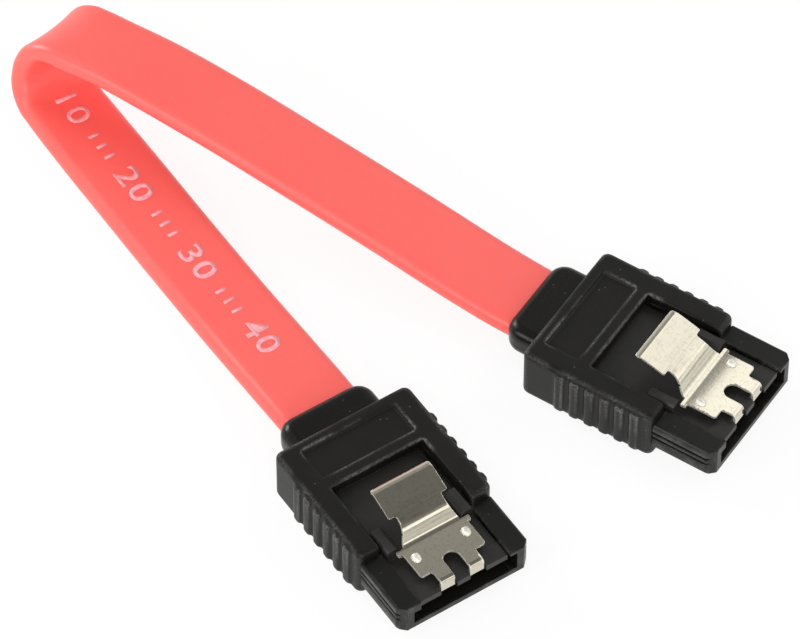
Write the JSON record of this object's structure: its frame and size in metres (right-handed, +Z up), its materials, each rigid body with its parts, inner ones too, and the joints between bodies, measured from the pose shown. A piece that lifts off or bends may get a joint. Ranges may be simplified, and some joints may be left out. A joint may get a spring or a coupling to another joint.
{
  "type": "sata data cable",
  "caption": "Short flat red data cable, folded over once, with a straight black plug and a sprung steel latch at each end.",
  "frame": {"origin": "middle of the box round the two plugs, without the flat cable, at the level of the surface they lie on", "axes": "+X the way the plugs point, along the middle of the V; +Y from plug a to plug b; +Z up, out of the clips"},
  "size_m": [0.0836, 0.0488, 0.0108],
  "materials": {
    "hood_black": "satin",
    "shell_black": "satin",
    "carrier_grey": "satin",
    "spring_steel": "bright",
    "contact_gold": "bright",
    "jacket_red": "satin"
  },
  "bodies": {
    "root": {"hood_a": "hood_black", "mating_shell_a": "shell_black", "contact_carrier_a": "carrier_grey", "contact_a1": "contact_gold", "contact_a2": "contact_gold", "contact_a3": "contact_gold", "contact_a4": "contact_gold", "contact_a5": "contact_gold", "contact_a6": "contact_gold", "contact_a7": "contact_gold", "hood_b": "hood_black", "mating_shell_b": "shell_black", "contact_carrier_b": "carrier_grey", "contact_b1": "contact_gold", "contact_b2": "contact_gold", "contact_b3": "contact_gold", "contact_b4": "contact_gold", "contact_b5": "contact_gold", "contact_b6": "contact_gold", "contact_b7": "contact_gold", "flat_cable": "jacket_red"},
    "clip_a": {"spring_clip_a": "spring_steel"},
    "clip_b": {"spring_clip_b": "spring_steel"}
  },
  "joints": [
    {"name": "clip_a_press", "type": "hinge", "parent": "root", "child": "clip_a", "pos_m": [0.00854, -0.017, 0.005], "axis": [-0.2014, -0.9795, 0], "range_deg": [0, 6], "stiffness_Nm_per_rad": 0.02, "springref_deg": -2.86},
    {"name": "clip_b_press", "type": "hinge", "parent": "root", "child": "clip_b", "pos_m": [0.01388, 0.01701, 0.005], "axis": [0.2016, -0.9795, 0], "range_deg": [0, 6], "stiffness_Nm_per_rad": 0.02, "springref_deg": -2.86}
  ]
}
